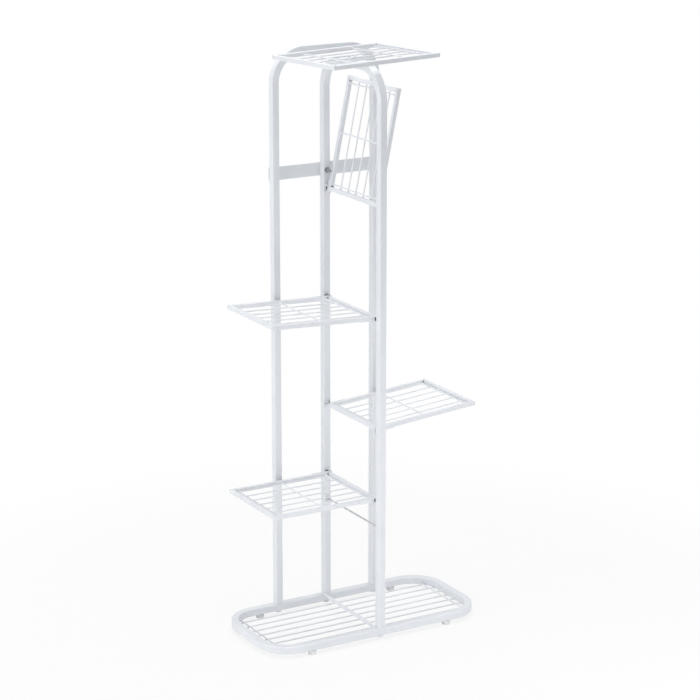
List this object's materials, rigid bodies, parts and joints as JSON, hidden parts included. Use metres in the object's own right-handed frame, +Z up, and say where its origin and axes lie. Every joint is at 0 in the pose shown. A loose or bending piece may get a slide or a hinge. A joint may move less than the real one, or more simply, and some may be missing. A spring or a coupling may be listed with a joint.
{
  "type": "plant shelf",
  "caption": "Tall white steel plant stand: bent-tube arches on a wire-floored ring base, with a turning top shelf and folding wire side shelves for pots.",
  "frame": {"origin": "on the floor, under the middle of the base ring", "axes": "+X along the base to the right, +Y to the back where the rear arch stands, +Z up"},
  "size_m": [0.4096, 0.2082, 0.9755],
  "materials": {
    "white_paint": "satin white powder coat",
    "zinc_steel": "dull zinc plate",
    "black_nylon": "moulded black nylon",
    "white_plastic": "moulded white plastic"
  },
  "bodies": {
    "stand": {"base_ring": "white_paint", "base_grid": "white_paint", "base_feet": "white_plastic", "leg_bolts": "white_paint", "leg_plugs": "zinc_steel", "rear_bow": "white_paint", "rear_left_leg": "white_paint", "rear_right_leg": "white_paint", "middle_bow": "white_paint", "middle_front_leg": "white_paint", "middle_back_leg": "white_paint", "bow_sleeves": "zinc_steel", "rear_strap": "white_paint", "strap_bolt": "zinc_steel", "strap_nut": "zinc_steel", "tie_rod": "zinc_steel", "tie_rod_nuts": "zinc_steel", "foot_rod": "white_paint", "stop_pins": "white_paint", "top_shelf_bolt": "zinc_steel", "top_shelf_nut": "zinc_steel"},
    "top_shelf": {"top_front_rail": "white_paint", "top_right_rail": "white_paint", "top_back_rail": "white_paint", "top_left_rail": "white_paint", "top_wires": "white_paint", "top_plate": "white_paint"},
    "upper_right_shelf": {"upper_right_front_rail": "white_paint", "upper_right_back_rail": "white_paint", "upper_right_inner_rail": "white_paint", "upper_right_outer_rail": "white_paint", "upper_right_wires": "white_paint", "upper_right_hinge_rod": "zinc_steel", "upper_right_hinge_leaves": "white_paint", "upper_right_hinge_spacers": "black_nylon"},
    "upper_left_shelf": {"upper_left_front_rail": "white_paint", "upper_left_back_rail": "white_paint", "upper_left_inner_rail": "white_paint", "upper_left_outer_rail": "white_paint", "upper_left_wires": "white_paint", "upper_left_hinge_rod": "zinc_steel", "upper_left_hinge_leaves": "white_paint", "upper_left_hinge_spacers": "black_nylon"},
    "lower_right_shelf": {"lower_right_front_rail": "white_paint", "lower_right_back_rail": "white_paint", "lower_right_inner_rail": "white_paint", "lower_right_outer_rail": "white_paint", "lower_right_wires": "white_paint", "lower_right_hinge_rod": "zinc_steel", "lower_right_hinge_leaves": "white_paint", "lower_right_hinge_spacers": "black_nylon"},
    "lower_left_shelf": {"lower_left_front_rail": "white_paint", "lower_left_back_rail": "white_paint", "lower_left_inner_rail": "white_paint", "lower_left_outer_rail": "white_paint", "lower_left_wires": "white_paint", "lower_left_hinge_rod": "zinc_steel", "lower_left_hinge_leaves": "white_paint", "lower_left_hinge_spacers": "black_nylon"}
  },
  "joints": [
    {"name": "upper_right_fold", "type": "hinge", "parent": "stand", "child": "upper_right_shelf", "pos_m": [0.0023, 0, 0.7365], "axis": [0, -1, 0], "range_deg": [-78.5, 1.5]},
    {"name": "upper_left_fold", "type": "hinge", "parent": "stand", "child": "upper_left_shelf", "pos_m": [-0.0023, 0, 0.551], "axis": [0, 1, 0], "range_deg": [-2.5, 77.5]},
    {"name": "lower_right_fold", "type": "hinge", "parent": "stand", "child": "lower_right_shelf", "pos_m": [0.0023, 0, 0.363], "axis": [0, -1, 0], "range_deg": [-4.8, 75.2]},
    {"name": "lower_left_fold", "type": "hinge", "parent": "stand", "child": "lower_left_shelf", "pos_m": [-0.0023, 0, 0.242], "axis": [0, 1, 0], "range_deg": [0, 80]},
    {"name": "top_shelf_turn", "type": "hinge", "parent": "stand", "child": "top_shelf", "pos_m": [0, 0, 0.9635], "axis": [0, 0, 1], "range_deg": [-20, 0]}
  ]
}
